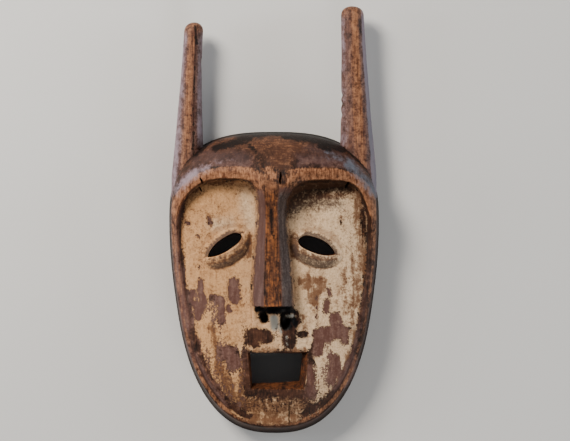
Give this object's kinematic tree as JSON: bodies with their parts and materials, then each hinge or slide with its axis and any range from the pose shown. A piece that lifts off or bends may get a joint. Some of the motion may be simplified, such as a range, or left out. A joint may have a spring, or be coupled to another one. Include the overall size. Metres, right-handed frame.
{
  "type": "horned face mask",
  "caption": "Carved wooden face mask with a sunken pale face, ridged nose, slit eyes, square mouth and upright horns, hollowed behind.",
  "frame": {"origin": "middle of the bounding box's underside: the mask lies on its back rim at Z = 0", "axes": "+Z out of the face, +Y from the chin towards the horn tips, +X to the right of someone who looks at the face"},
  "size_m": [0.1732, 0.351, 0.06],
  "materials": {
    "carved_wood": "worn patina with flaking pale kaolin"
  },
  "bodies": {
    "root": {"mask": "carved_wood"}
  },
  "joints": []
}
